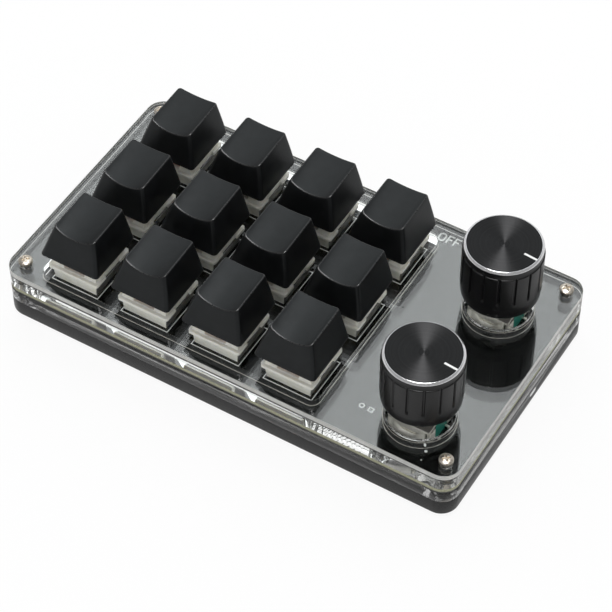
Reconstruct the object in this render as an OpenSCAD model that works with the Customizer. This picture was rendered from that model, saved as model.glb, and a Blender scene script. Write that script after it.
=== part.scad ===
// One-handed keypad: twelve mechanical keys and two push knobs on a circuit board
// that is clamped between clear plates over a shallow black tray.
// Origin: middle of the footprint, on the surface that the rubber feet stand on.

/* [Body] */
// Width of the case, left to right
body_w = 136; // [130:1:160]
// Depth of the case, front to back
body_d = 75.5; // [75:0.5:100]
// Radius of the upright corners
corner_r = 5; // [3:0.5:8]
// Rounding of the tray's lower edge
tray_edge_r = 1; // [0.5:0.1:1.5]

/* [Layers] */
// How far the rubber feet stand out of the tray
foot_out = 0.6; // [0.4:0.1:1.5]
// Height of the black tray
tray_h = 5.5; // [5:0.5:12]
// Thickness of the tray floor
tray_floor = 1.6; // [1.2:0.1:2]
// Thickness of the tray walls
tray_wall = 2.6; // [2:0.1:3.5]
// Thickness of the clear frame under the board
lower_frame_t = 3.7; // [3.6:0.1:6]
// Thickness of the circuit board
board_t = 1.6; // [1.2:0.2:2]
// Thickness of the clear frame over the board
upper_frame_t = 2.5; // [2.4:0.1:3.2]
// Thickness of the clear top plate
plate_t = 3; // [2.8:0.1:3.2]
// Width of the clear frames' rims
rim_w = 4.75; // [4:0.25:5]

/* [Keys] */
// Distance between columns
pitch_x = 22; // [20:0.5:23]
// Distance between rows
pitch_y = 23; // [20:0.5:23]
// Clear edge between the key block's window and the case's left side
block_in = 8; // [8:0.5:12]
// Window round the key block, past the outer key centres
block_margin = 10; // [9.5:0.25:10.5]
// Radius of that window's corners
window_r = 2.5; // [1:0.5:4]
// How far a key travels
key_travel = 4; // [3:0.1:4]

/* [Keycaps] */
// Side of the keycap's square skirt
cap_base = 18.1; // [17.8:0.1:18.4]
// Width of the keycap's top
cap_top_w = 12.5; // [12:0.1:14]
// Depth of the keycap's top
cap_top_d = 14; // [13:0.1:15]
// How far the keycap's top sits back from the skirt's middle
cap_top_back = 1.65; // [0:0.05:1.9]
// Height of the keycap at the corners of its top
cap_h = 9.5; // [8.5:0.1:11]
// Radius of the dish across the top
cap_dish_r = 22; // [18:1:40]
// Fall of the top towards the user, in degrees
cap_tilt = 1.5; // [0:0.5:4]
// Thickness of the keycap's walls
cap_wall = 1.35; // [1.1:0.05:1.5]
// Thickness of the keycap's roof
cap_roof = 1.2; // [1:0.1:1.6]
// Diameter of the keycap's socket
cap_post_d = 5.4; // [5:0.1:5.5]

/* [Switches] */
// Side of the square hole that takes a switch
cutout = 14; // [13.8:0.05:14.2]
// Side of the switch flange that rests on the plate
flange = 15.6; // [15:0.1:16]
// Thickness of that flange
flange_t = 1; // [0.8:0.1:1.2]
// Depth of the switch below the top plate's face
switch_depth = 5; // [4.6:0.1:5]
// Height of the switch above the top plate's face
switch_top = 6.6; // [6.2:0.1:6.8]
// Wall of the switch housing
switch_wall = 1.1; // [0.9:0.1:1.4]
// Width of the switch cover's top
cover_top_w = 11; // [10:0.1:11.5]
// Depth of the switch cover's top
cover_top_d = 10; // [9.5:0.1:10.2]
// Span of the stem's cross
cross_span = 4; // [3.8:0.05:4.1]
// Thickness of the stem's cross
cross_t = 1.25; // [1.1:0.05:1.35]
// Height of the cross above the switch
cross_h = 3.6; // [3.2:0.1:3.6]
// Diameter of the peg that locates the switch in the board
peg_d = 4; // [3.6:0.1:4]
// Outside diameter of the return spring
spring_d = 4.8; // [4.7:0.1:5]
// Wire thickness of the return spring
spring_wire = 0.4; // [0.3:0.05:0.45]

/* [Knobs] */
// Knob centres from the case's right side
knob_in = 17.6; // [17:0.1:20]
// Distance between the two knobs
knob_pitch = 41.8; // [38:0.1:43]
// How far the pair of knobs sits to the front
knob_front = 1.05; // [0:0.05:1.5]
// Diameter of the knob
knob_d = 21.3; // [20:0.1:22]
// Height of the knob
knob_h = 17.2; // [16:0.1:19]
// Knob's lower edge above the top plate
knob_gap = 6.8; // [6.4:0.1:7.5]
// Diameter of the knob's flat top
knob_top_d = 19.1; // [18:0.1:19.4]
// Height of the bright bevel round the top
bevel_h = 1.4; // [1:0.1:1.8]
// Height of the plain collar under the bevel
collar_h = 1.8; // [1.4:0.1:2.4]
// How much narrower the collar and bevel are
collar_step = 0.25; // [0.1:0.05:0.5]
// Number of grooves round the grip
groove_n = 16; // [12:1:20]
// Width of one groove
groove_w = 0.7; // [0.6:0.1:1.2]
// Depth of one groove
groove_depth = 0.6; // [0.3:0.05:0.8]
// Plain band below the grooves
knob_foot = 4; // [3.2:0.1:4.5]
// Diameter of the hollow under the knob
knob_hollow_d = 16.4; // [15:0.1:17]
// How far a knob goes down when it is pressed
push_travel = 0.5; // [0.3:0.1:0.5]
// Width of the pointer line
pointer_w = 0.8; // [0.6:0.1:1]
// Where the pointer line starts, from the knob's axis
pointer_start = 5.9; // [4:0.1:7]

/* [Encoders] */
// Hole in the top plate round an encoder
encoder_hole_d = 18.2; // [17.8:0.1:19]
// Hole in the upper frame round an encoder
frame_hole_d = 19; // [18.4:0.1:20]
// Width of an encoder
encoder_w = 11.8; // [11.5:0.1:12]
// Depth of an encoder
encoder_d = 12.4; // [12:0.1:12.6]
// Height of an encoder above the board
encoder_h = 6.8; // [6.5:0.1:7]
// Sheet thickness of the encoder's metal cover
bracket_t = 0.8; // [0.6:0.1:0.9]
// Diameter of the encoder's neck
neck_d = 7; // [6.8:0.1:7.4]
// Height of the encoder's neck
neck_h = 7; // [6.6:0.1:7]
// Diameter of the encoder's shaft
shaft_d = 6; // [5.8:0.1:6]
// Shaft above the encoder's cover
shaft_l = 15; // [13:0.5:16]
// Depth of the flat on the shaft
shaft_flat = 1.5; // [1:0.1:1.6]

/* [Fasteners] */
// Screw centres from the case's left and right sides
screw_in_x = 4.3; // [4:0.1:4.6]
// Screw centres from the case's front and back
screw_in_y = 5.1; // [4.5:0.1:5.5]
// Diameter of the screw thread
screw_d = 2; // [1.6:0.1:2.2]
// Length of thread in the tray's screw posts
screw_grip = 3.2; // [2.4:0.1:3.4]
// Diameter of the screw head
head_d = 3.8; // [3.4:0.1:4]
// Height of the screw head
head_h = 1.5; // [1.2:0.1:1.7]
// Screw hole in the top plate and the lower frame
plate_hole_d = 3.2; // [2.4:0.1:3.3]
// Screw hole in the upper frame
ring_hole_d = 6; // [4:0.1:6]
// Diameter of the tray's screw posts
boss_d = 6; // [5:0.1:7]
// Diameter of the rubber feet
foot_d = 10; // [8:0.5:12]
// Recess that takes a foot
foot_sunk = 0.6; // [0.4:0.1:0.7]
// Foot centres from the corners
foot_in = 14; // [12:1:20]

/* [Electronics] */
// Battery length
battery_w = 50; // [30:1:52]
// Battery width
battery_d = 34; // [25:1:36]
// Battery thickness
battery_t = 4; // [3:0.1:4.4]
// Middle of the charging port from the case's right side
port_in = 17.6; // [16:0.1:24]
// Width of the charging port
port_w = 8.94; // [8.8:0.02:9]
// Height of the charging port
port_h = 3.2; // [3.1:0.05:3.26]
// Depth of the charging port
port_l = 7.3; // [6.5:0.1:8]
// Middle of the power switch from the case's right side
slide_in = 40.5; // [36:0.5:42]
// Travel of the power switch
slide_travel = 2; // [1.5:0.1:2]
// Status window, behind the case's middle
window_y = 7.5; // [5:0.5:12]
// Length of the status window
window_l = 3.3; // [2.6:0.1:4]
// Height of the status window
window_h = 1.2; // [0.9:0.1:1.4]
// Middle of the status window, below the tray's top
window_drop = 2; // [1.7:0.1:2.2]

/* [Hidden] */
$fn = 64;
cut = 0.5;
fit = 0.03;
run = 0.3;

// The key nodes are named after these
key_cols = 4;
key_rows = 3;
cols = [for (c = [1 : key_cols]) c];
rows = [for (r = [1 : key_rows]) r];

// Heights of the layers
tray_z = foot_out;
tray_top = tray_z + tray_h;
board_z = tray_top + lower_frame_t;
board_top = board_z + board_t;
plate_z = board_top + upper_frame_t;
plate_top = plate_z + plate_t;

// Centres of the keys, knobs, screws, port and power switch
block_x = block_in + block_margin + (key_cols - 1) * pitch_x / 2 - body_w / 2;
function key_x(c) = block_x + (c - (key_cols + 1) / 2) * pitch_x;
function key_y(r) = (r - (key_rows + 1) / 2) * pitch_y;
knob_x = body_w / 2 - knob_in;
front_knob_y = -knob_front - knob_pitch / 2;
rear_knob_y = -knob_front + knob_pitch / 2;
knob_ys = [front_knob_y, rear_knob_y];
screw_x = body_w / 2 - screw_in_x;
screw_y = body_d / 2 - screw_in_y;
screw_z = tray_top - screw_grip;
port_x = body_w / 2 - port_in;
slide_x = body_w / 2 - slide_in;

// Keycap, from its skirt up; a pressed skirt stays a running gap above the switch flange
cap_gap = flange_t + run + key_travel;
cap_z = plate_top + cap_gap;
cap_slope_x = (cap_base - cap_top_w) / 2 / cap_h;
cap_front = cap_top_back - cap_top_d / 2;
cap_back = cap_top_back + cap_top_d / 2;
cap_over = cap_h + 0.6;
dish_sag = cap_top_w * cap_top_w / 8 / cap_dish_r;
cap_in_z = cap_h - dish_sag - cap_roof;
cap_corner_r = 1.1;
cap_top_r = 1.4;
cap_post_z = switch_top + run - cap_gap;
cross_top = switch_top + cross_h;

// Switch, from the top plate's face
housing_w = cutout - 2 * fit;
cavity_w = housing_w - 2 * switch_wall - 0.2;
floor_z = 1 - switch_depth;
cover_w = 14;
cover_roof = 1;
slider_w = 7;
slider_d = 5.6;
slider_z = switch_top - 2;
shoulder_w = 8.2;
stem_play = 0.2;
opening_w = slider_w + 2 * stem_play;
opening_d = slider_d + 2 * stem_play;
peg_l = 3.3;
peg_z = -switch_depth - peg_l;
peg_floor = 0.8;
guide_d = 3.6;
leg_d = 2.2;
leg_play = 0.1;
window_w = 6.4;
pins = [[3.81, -2.54], [-2.54, -5.08]];
pin_hole_d = 1.5;

// Knob and encoder
knob_z = plate_top + knob_gap;
neck_gap = 0.4;
knob_hollow_h = board_top + encoder_h + neck_h + neck_gap + push_travel - knob_z;
shaft_top = board_top + encoder_h + shaft_l;
encoder_floor = 0.4;
shaft_z = board_top + encoder_floor + run + push_travel;
rotor_z = board_top + 2.6;
rotor_t = 1.6;
rotor_d = 8.8;
rotor_gap = 0.2;
encoder_base_h = encoder_h - bracket_t;
wing_w = 9.4;
wing_slot = [4.6, 0.9];
wing_slot_z = 4.2;
strap_t = 0.3;
strap_in = 0.9;
strap_d = 2.4;
tab_w = 2;
lead_l = 1;
term_x = 7;
term_pitch = 2.5;

// Chips, power switch and port
chip_w = 7;
chip_step = 2;
chip_low = 0.9;
chip_high = 1.4;
slide_body = [6.8, 2.8, 1.5];
slide_in_back = 1.5;
slide_y = body_d / 2 - slide_in_back - slide_body[1];
slide_channel = [5, 1.2, 0.9];
slide_lever = [1.5, 0.8];
slide_inset = 0.2;
layer_gap = 0.3;

// Shared shapes

// Rectangle with round corners, centred
module round_rect(w, d, r) {
    square([w - 2 * r, d], center = true);
    square([w, d - 2 * r], center = true);
    for (sx = [-1, 1], sy = [-1, 1])
        translate([sx * (w / 2 - r), sy * (d / 2 - r)]) circle(r);
}

// Section of a slab whose lower edges are rounded, centred on the upright axis
module soft_section(w, h, r) {
    translate([-w / 2, r]) square([w, h - r]);
    translate([r - w / 2, 0]) square([w - 2 * r, r + 0.01]);
    for (s = [-1, 1]) translate([s * (w / 2 - r), r]) circle(r);
}

// Slab with round upright corners and a rounded lower edge
module soft_slab(w, d, h, r, edge) {
    rotate([90, 0, 0]) linear_extrude(d - 2 * r, center = true) soft_section(w, h, edge);
    rotate([90, 0, 90]) linear_extrude(w - 2 * r, center = true) soft_section(d, h, edge);
    for (sx = [-1, 1], sy = [-1, 1])
        translate([sx * (w / 2 - r), sy * (d / 2 - r), 0])
            rotate_extrude()
                intersection() {
                    soft_section(2 * r, h, edge);
                    square([r, h]);
                }
}

// Four places near the corners
module at_corners(x, y) {
    for (sx = [-1, 1], sy = [-1, 1]) translate([sx * x, sy * y, 0]) children();
}

// Every key's place, at the top plate's face
module at_keys() {
    for (r = rows, c = cols) translate([key_x(c), key_y(r), plate_top]) children();
}

// Both knobs' places, on the board
module at_knobs() {
    for (y = knob_ys) translate([knob_x, y, board_top]) children();
}

// Block whose four sides lean in by straight lines
module lean_block(w0, d0, w1, d1, h) {
    intersection() {
        rotate([90, 0, 0]) linear_extrude(d0 + 1, center = true)
            polygon([[-w0 / 2, 0], [w0 / 2, 0], [w1 / 2, h], [-w1 / 2, h]]);
        rotate([90, 0, 90]) linear_extrude(w0 + 1, center = true)
            polygon([[-d0 / 2, 0], [d0 / 2, 0], [d1 / 2, h], [-d1 / 2, h]]);
    }
}

// Case

module base_tray() {
    color([0.12, 0.12, 0.13])
    difference() {
        union() {
            difference() {
                translate([0, 0, tray_z]) soft_slab(body_w, body_d, tray_h, corner_r, tray_edge_r);
                translate([0, 0, tray_z + tray_floor]) linear_extrude(tray_h)
                    round_rect(body_w - 2 * tray_wall, body_d - 2 * tray_wall, corner_r - 2);
            }
            at_corners(screw_x, screw_y)
                translate([0, 0, tray_z + tray_floor - cut])
                    cylinder(d = boss_d, h = tray_h - tray_floor + cut);
            battery_rails();
        }
        at_corners(screw_x, screw_y)
            translate([0, 0, screw_z - run]) cylinder(d = screw_d + 2 * fit, h = tray_h);
        at_corners(body_w / 2 - foot_in, body_d / 2 - foot_in)
            translate([0, 0, tray_z - cut]) cylinder(d = foot_d + 2 * fit, h = foot_sunk + cut);
        translate([body_w / 2 - tray_wall / 2, window_y, tray_top - window_drop])
            rotate([90, 0, 90]) linear_extrude(tray_wall + 1, center = true)
                round_rect(window_l + 2 * fit, window_h + 2 * fit, window_h / 2);
    }
}

// Low ribs that hold the battery in place
module battery_rails() {
    rail = 1.2;
    for (s = [-1, 1])
        translate([block_x - battery_w / 2, s * (battery_d / 2 + rail / 2 + run) - rail / 2,
            tray_z + tray_floor - cut])
            cube([battery_w, rail, 2 + cut]);
}

module rubber_feet() {
    color([0.06, 0.06, 0.06])
    at_corners(body_w / 2 - foot_in, body_d / 2 - foot_in) cylinder(d = foot_d, h = foot_out + foot_sunk);
}

module lower_frame() {
    color([0.85, 0.9, 0.9, 0.4])
    translate([0, 0, tray_top]) difference() {
        linear_extrude(lower_frame_t) difference() {
            round_rect(body_w, body_d, corner_r);
            difference() {
                round_rect(body_w - 2 * rim_w, body_d - 2 * rim_w, window_r);
                at_corners(screw_x, screw_y) circle(r = boss_d / 2 + 1.5);
            }
            at_corners(screw_x, screw_y) circle(d = plate_hole_d);
        }
        translate([port_x - port_w / 2 - layer_gap, body_d / 2 - rim_w - cut, -cut])
            cube([port_w + 2 * layer_gap, rim_w + 2 * cut, lower_frame_t + 2 * cut]);
        translate([slide_x - slide_body[0] / 2 - layer_gap, body_d / 2 - rim_w - cut, -cut])
            cube([slide_body[0] + 2 * layer_gap, rim_w + cut - slide_in_back + layer_gap,
                lower_frame_t + 2 * cut]);
        translate([slide_x - (slide_lever[0] + slide_travel) / 2 - 1, body_d / 2 - rim_w, lower_frame_t - 2])
            cube([slide_lever[0] + slide_travel + 2, rim_w + cut, 2 + cut]);
    }
}

module circuit_board() {
    color([0.08, 0.09, 0.08])
    translate([0, 0, board_z]) linear_extrude(board_t) difference() {
        round_rect(body_w, body_d, corner_r);
        at_corners(screw_x, screw_y) circle(d = screw_d + 0.4);
        for (r = rows, c = cols) translate([key_x(c), key_y(r)]) {
            circle(d = peg_d + 2 * fit);
            for (p = pins) translate(p) circle(d = pin_hole_d);
        }
        for (y = knob_ys) translate([knob_x, y]) encoder_footprint();
    }
}

// Holes for one encoder's pins and tabs
module encoder_footprint() {
    for (s = [-1, 0, 1]) translate([-term_x, s * term_pitch]) circle(d = 1);
    for (s = [-1, 1]) translate([term_x, s * term_pitch]) circle(d = 1);
    for (s = [-1, 1]) translate([0, s * (encoder_d - bracket_t) / 2])
        square([tab_w + 2 * layer_gap, bracket_t + 2 * layer_gap], center = true);
}

module upper_frame() {
    color([0.85, 0.9, 0.9, 0.4])
    translate([0, 0, board_top]) linear_extrude(upper_frame_t) difference() {
        round_rect(body_w, body_d, corner_r);
        translate([block_x, 0])
            round_rect((key_cols - 1) * pitch_x + 2 * block_margin,
                (key_rows - 1) * pitch_y + 2 * block_margin, window_r);
        for (y = knob_ys) translate([knob_x, y]) circle(d = frame_hole_d);
        at_corners(screw_x, screw_y) circle(d = ring_hole_d);
    }
}

module top_plate() {
    color([0.85, 0.9, 0.9, 0.4])
    translate([0, 0, plate_z]) linear_extrude(plate_t) difference() {
        round_rect(body_w, body_d, corner_r);
        for (r = rows, c = cols) translate([key_x(c), key_y(r)]) square(cutout, center = true);
        for (y = knob_ys) translate([knob_x, y]) circle(d = encoder_hole_d);
        at_corners(screw_x, screw_y) circle(d = plate_hole_d);
    }
}

// Pan head screws with a cross recess
module corner_screws() {
    recess_w = 0.55;
    recess_l = 2.1;
    color([0.75, 0.72, 0.66])
    at_corners(screw_x, screw_y) {
        translate([0, 0, screw_z]) cylinder(d = screw_d, h = plate_top - screw_z + 0.2);
        translate([0, 0, plate_top]) difference() {
            rotate_extrude() intersection() {
                translate([0, head_h - head_d]) circle(head_d);
                square([head_d / 2, head_h]);
            }
            for (a = [45, 135]) rotate([0, 0, a])
                translate([-recess_l / 2, -recess_w / 2, head_h - 0.8]) cube([recess_l, recess_w, 1]);
        }
    }
}

// Switches

// Lower housing: flange on the plate, body through it, peg in the board
module switch_base() {
    notch_w = 7;
    difference() {
        union() {
            linear_extrude(flange_t) difference() {
                round_rect(flange, flange, 0.8);
                for (s = [-1, 1]) translate([s * flange / 2, 0])
                    square([2 * 0.6, notch_w], center = true);
            }
            translate([0, 0, -switch_depth])
                lean_block(housing_w - 0.8, housing_w - 0.8, housing_w, housing_w, switch_depth);
            translate([0, 0, peg_z]) cylinder(d = peg_d, h = -peg_z - switch_depth + cut);
        }
        difference() {
            translate([-cavity_w / 2, -cavity_w / 2, floor_z]) cube([cavity_w, cavity_w, switch_depth + 1]);
            translate([0, 0, floor_z - cut]) cylinder(d = guide_d, h = -floor_z + cut);
        }
        translate([0, 0, peg_z + peg_floor]) cylinder(d = leg_d + 2 * leg_play, h = -peg_z);
        for (p = pins) translate([p[0], p[1], -switch_depth - cut]) cylinder(d = 1.2, h = 2);
    }
}

module switch_bases() {
    color([0.88, 0.87, 0.8]) at_keys() switch_base();
}

// Upper housing: leaning walls, stem opening on top, contact window in front
module switch_cover() {
    rise = switch_top - flange_t;
    inside = 2 * switch_wall;
    translate([0, 0, flange_t]) difference() {
        lean_block(cover_w, cover_w, cover_top_w, cover_top_d, rise);
        translate([0, 0, -0.001])
            lean_block(cover_w - inside, cover_w - inside,
                cover_top_w - inside + 0.4, cover_top_d - inside + 0.4, rise - cover_roof);
        translate([-opening_w / 2, -opening_d / 2, 0]) cube([opening_w, opening_d, rise + 1]);
        translate([-window_w / 2, -cover_w / 2 - cut, 0.2]) cube([window_w, 3.1, 2.7]);
    }
}

module switch_covers() {
    color([0.92, 0.91, 0.85]) at_keys() switch_cover();
}

// Copper contact pair: leaves behind the front window, pins through the board
module switch_contact_pair() {
    leaf_t = 0.25;
    leaf_y = -cavity_w / 2;
    for (s = [-1, 1]) translate([s > 0 ? 0.4 : -3, leaf_y, floor_z + 0.5])
        cube([2.6, leaf_t, 2.6 - floor_z - 0.5]);
    for (p = pins) translate([p[0] - 0.5, p[1] - 0.125, peg_z]) cube([1, 0.25, floor_z - peg_z + 0.6]);
    translate([pins[1][0] - 0.5, leaf_y, floor_z + 0.3])
        cube([1, pins[1][1] - leaf_y + 0.125, 0.25]);
    translate([2, leaf_y, floor_z + 0.3])
        cube([1, pins[0][1] - leaf_y + 0.125, 0.25]);
    translate([2, pins[0][1] - 0.125, floor_z + 0.3])
        cube([pins[0][0] - 1.5, 0.25, 0.25]);
}

module switch_contacts() {
    color([0.8, 0.5, 0.4]) at_keys() switch_contact_pair();
}

// Slider with its cross, shoulders and centre leg
module stem(r, c) {
    color([0.25, 0.25, 0.26])
    translate([key_x(c), key_y(r), plate_top]) {
        translate([0, 0, slider_z]) {
            linear_extrude(switch_top - slider_z) square([slider_w, slider_d], center = true);
            linear_extrude(switch_top - cover_roof - stem_play / 2 - slider_z)
                square([shoulder_w, slider_d], center = true);
        }
        translate([0, 0, switch_top - 0.1]) linear_extrude(cross_h + 0.1) {
            square([cross_span, cross_t], center = true);
            square([cross_t, cross_span], center = true);
        }
        translate([0, 0, -0.9]) cylinder(d = leg_d, h = slider_z + 1.9);
    }
}

// Return spring, shown closed because the housing hides it
module spring(r, c) {
    color([0.7, 0.7, 0.72])
    translate([key_x(c), key_y(r), plate_top + floor_z]) difference() {
        cylinder(d = spring_d, h = slider_z - floor_z);
        translate([0, 0, -1]) cylinder(d = spring_d - 2 * spring_wire, h = slider_z - floor_z + 2);
    }
}

// Keycap

// Solid of the cap's form, moved in by a wall thickness, up to a height
module cap_form(inset, top) {
    part = top / cap_h;
    half_w = cap_base / 2 - cap_slope_x * top - inset;
    front = -cap_base / 2 + (cap_front + cap_base / 2) * part + inset;
    back = cap_base / 2 + (cap_back - cap_base / 2) * part - inset;
    r0 = cap_corner_r;
    hull() {
        for (sx = [-1, 1], sy = [-1, 1])
            translate([sx * (cap_base / 2 - inset - r0), sy * (cap_base / 2 - inset - r0), 0])
                cylinder(r = r0, h = 0.01, $fn = 32);
        for (sx = [-1, 1], y = [front + cap_top_r, back - cap_top_r])
            translate([sx * (half_w - cap_top_r), y, top - 0.01]) cylinder(r = cap_top_r, h = 0.01, $fn = 32);
    }
}

module keycap(r, c) {
    color([0.17, 0.17, 0.18])
    translate([key_x(c), key_y(r), cap_z]) {
        difference() {
            cap_form(0, cap_over);
            translate([0, 0, -0.01]) cap_form(cap_wall, cap_in_z);
            translate([0, 0, cap_h - dish_sag + cap_dish_r])
                rotate([90 + cap_tilt, 0, 0]) cylinder(r = cap_dish_r, h = 40, center = true, $fn = 128);
        }
        difference() {
            translate([0, 0, cap_post_z]) cylinder(d = cap_post_d, h = cap_in_z - cap_post_z + 0.4);
            translate([0, 0, cap_post_z - cut]) linear_extrude(cross_top - cap_gap - cap_post_z + cut + 0.1) {
                square([cross_span + 2 * fit, cross_t + 2 * fit], center = true);
                square([cross_t + 2 * fit, cross_span + 2 * fit], center = true);
            }
        }
    }
}

// Encoders

// Moulded encoder body with the rotor's chamber
module encoder_bases() {
    color([0.1, 0.5, 0.45])
    at_knobs() difference() {
        translate([-encoder_w / 2, -encoder_d / 2 + bracket_t, 0])
            cube([encoder_w, encoder_d - 2 * bracket_t, encoder_base_h]);
        translate([0, 0, rotor_z - board_top - rotor_gap]) cylinder(d = rotor_d + 2 * run, h = encoder_h);
        translate([0, 0, encoder_floor]) cylinder(d = shaft_d + 2 * run, h = encoder_h);
    }
}

// Metal cover, neck, side tabs and terminals
module encoder_brackets() {
    color([0.8, 0.8, 0.78])
    at_knobs() {
        difference() {
            union() {
                translate([-encoder_w / 2, -encoder_d / 2, encoder_base_h])
                    cube([encoder_w, encoder_d, bracket_t]);
                translate([0, 0, encoder_base_h]) cylinder(d = neck_d, h = bracket_t + neck_h);
                encoder_straps();
                for (s = [-1, 1]) translate([0, s * (encoder_d - bracket_t) / 2, 0]) {
                    translate([-wing_w / 2, -bracket_t / 2, 0.4]) cube([wing_w, bracket_t, encoder_base_h]);
                    translate([-tab_w / 2, -bracket_t / 2, -board_t - lead_l])
                        cube([tab_w, bracket_t, board_t + lead_l + 1]);
                }
            }
            translate([0, 0, encoder_base_h - cut])
                cylinder(d = shaft_d + 2 * fit, h = bracket_t + neck_h + 2 * cut);
            for (s = [-1, 1]) translate([0, s * encoder_d / 2, wing_slot_z])
                rotate([90, 0, 0]) linear_extrude(bracket_t, center = true)
                    round_rect(wing_slot[0], wing_slot[1], wing_slot[1] / 2 - 0.01);
        }
        for (s = [-1, 0, 1]) encoder_pin(-1, s * term_pitch);
        for (s = [-1, 1]) encoder_pin(1, s * term_pitch);
    }
}

// Thin folds of the cover round the body's four upright corners
module encoder_straps() {
    foot = 0.4;
    front_w = strap_in + strap_t;
    for (sx = [-1, 1], sy = [-1, 1]) translate([0, 0, foot]) {
        translate([sx * (encoder_w + strap_t - strap_in) / 2 - front_w / 2,
            sy * (encoder_d / 2 - bracket_t + strap_t / 2) - strap_t / 2, 0])
            cube([front_w, strap_t, encoder_base_h]);
        translate([sx * (encoder_w + strap_t) / 2 - strap_t / 2,
            sy * (encoder_d / 2 - bracket_t + strap_t - strap_d / 2) - strap_d / 2, 0])
            cube([strap_t, strap_d, encoder_base_h - foot - strap_t]);
    }
}

// One bent terminal, out of the body's side and down through the board
module encoder_pin(side, y) {
    pin_w = 0.7;
    pin_t = 0.5;
    rise = 0.9;
    reach = term_x + pin_t / 2 - encoder_w / 2;
    translate([side > 0 ? encoder_w / 2 : -encoder_w / 2 - reach, y - pin_w / 2, rise - 0.3])
        cube([reach, pin_w, 0.3]);
    translate([side * term_x - pin_t / 2, y - pin_w / 2, -board_t - lead_l])
        cube([pin_t, pin_w, board_t + lead_l + rise]);
}

// Toothed disc that the shaft turns
module rotor(y) {
    teeth = 20;
    color([0.9, 0.9, 0.88])
    translate([knob_x, y, rotor_z]) linear_extrude(rotor_t) difference() {
        circle(d = rotor_d);
        shaft_section(fit);
        for (i = [1 : teeth]) rotate(i * 360 / teeth) translate([rotor_d / 2, 0])
            circle(d = 0.7, $fn = 24);
    }
}

// Round bar with one flat, grown by a clearance
module shaft_section(grow) {
    difference() {
        circle(d = shaft_d + 2 * grow);
        translate([shaft_d / 2 - shaft_flat + grow, -shaft_d]) square(2 * shaft_d);
    }
}

module shaft(y) {
    round_z = rotor_z + rotor_t + push_travel + run;
    flat_z = knob_z + knob_hollow_h;
    color([0.8, 0.8, 0.8])
    translate([knob_x, y, 0]) {
        translate([0, 0, shaft_z]) linear_extrude(round_z - shaft_z) shaft_section(0);
        translate([0, 0, round_z]) cylinder(d = shaft_d, h = flat_z - round_z);
        translate([0, 0, flat_z]) linear_extrude(shaft_top - flat_z) shaft_section(0);
    }
}

// Machined knob: bright bevel, collar, grooved grip, hollow underside
module knob(y) {
    r = knob_d / 2;
    rc = r - collar_step;
    grip_top = knob_h - bevel_h - collar_h;
    edge = 0.2;
    color([0.13, 0.13, 0.13])
    translate([knob_x, y, knob_z]) difference() {
        rotate_extrude() polygon([
            [0, 0], [r - 3 * edge, 0], [r - edge, 2 * edge], [r, knob_foot / 2],
            [r, grip_top - edge], [r - edge, grip_top],
            [rc, grip_top], [rc, knob_h - bevel_h], [knob_top_d / 2, knob_h], [0, knob_h]
        ]);
        for (i = [0 : groove_n - 1]) rotate([0, 0, i * 360 / groove_n])
            translate([r - groove_depth, -groove_w / 2, knob_foot])
                cube([2, groove_w, grip_top - knob_foot + 0.01]);
        translate([0, 0, -cut]) cylinder(d = knob_hollow_d, h = knob_hollow_h + cut);
        translate([0, 0, -cut]) linear_extrude(shaft_top - knob_z + rotor_gap + cut) shaft_section(fit);
        translate([pointer_start, -pointer_w / 2, knob_h - 0.25]) cube([r, pointer_w, 1]);
    }
}

// Electronics

module battery() {
    edge = 1.5;
    color([0.75, 0.76, 0.78])
    translate([block_x, 0, tray_z + tray_floor]) intersection() {
        rotate([90, 0, 90]) linear_extrude(battery_w, center = true)
            translate([0, battery_t / 2]) round_rect(battery_d, battery_t, edge);
        linear_extrude(battery_t) round_rect(battery_w, battery_d, edge);
    }
}

// Charging socket under the board's rear edge, with its tongue
module usb_port() {
    shell = 0.3;
    tongue = [6.7, 0.7];
    color([0.78, 0.78, 0.76])
    translate([port_x, body_d / 2, board_z - port_h / 2]) rotate([90, 0, 0]) {
        difference() {
            linear_extrude(port_l) round_rect(port_w, port_h, 1.3);
            translate([0, 0, -1]) linear_extrude(port_l)
                round_rect(port_w - 2 * shell, port_h - 2 * shell, 1);
        }
        translate([0, 0, 0.6]) linear_extrude(port_l - 1) square(tongue, center = true);
    }
}

// Chips on the board's underside, between the key block and the knobs: x, y, width, depth, height
module board_chips() {
    mid_x = (block_x + (key_cols - 1) * pitch_x / 2 + block_margin + knob_x - frame_hole_d / 2) / 2;
    side_x = knob_x + encoder_w / 2 + chip_step;
    chips = [
        [mid_x, -chip_step, chip_w, chip_w, chip_low],
        [mid_x + chip_step, body_d / 6, 0.7 * chip_w, 0.6 * chip_w, chip_high],
        [mid_x - chip_step, -body_d / 5, 0.4 * chip_w, 0.4 * chip_w, chip_low],
        [mid_x + chip_step, body_d / 3, 0.6 * chip_w, 0.7 * chip_w, chip_high],
        [side_x, 0, chip_step, 0.6 * chip_w, chip_low]
    ];
    color([0.1, 0.1, 0.1])
    for (p = chips) translate([p[0] - p[2] / 2, p[1] - p[3] / 2, board_z - p[4]]) cube([p[2], p[3], p[4]]);
}

// Slide switch body under the board's rear edge
module power_switch_body() {
    color([0.7, 0.7, 0.7])
    translate([slide_x, slide_y, board_z - slide_body[2]]) difference() {
        translate([-slide_body[0] / 2, 0, 0]) cube(slide_body);
        translate([-slide_channel[0] / 2, slide_body[1] - slide_channel[1],
            (slide_body[2] - slide_channel[2]) / 2])
            cube([slide_channel[0], slide_channel[1] + cut, slide_channel[2]]);
    }
}

// Lever of the slide switch, shown in the off position
module power_slider() {
    play = 0.05;
    reach = body_d / 2 - slide_inset - slide_y - slide_body[1] + slide_channel[1] - play;
    color([0.9, 0.9, 0.88])
    translate([slide_x - slide_travel / 2 - slide_lever[0] / 2,
        slide_y + slide_body[1] - slide_channel[1] + play,
        board_z - slide_body[2] / 2 - slide_lever[1] / 2])
        cube([slide_lever[0], reach, slide_lever[1]]);
}

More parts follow.
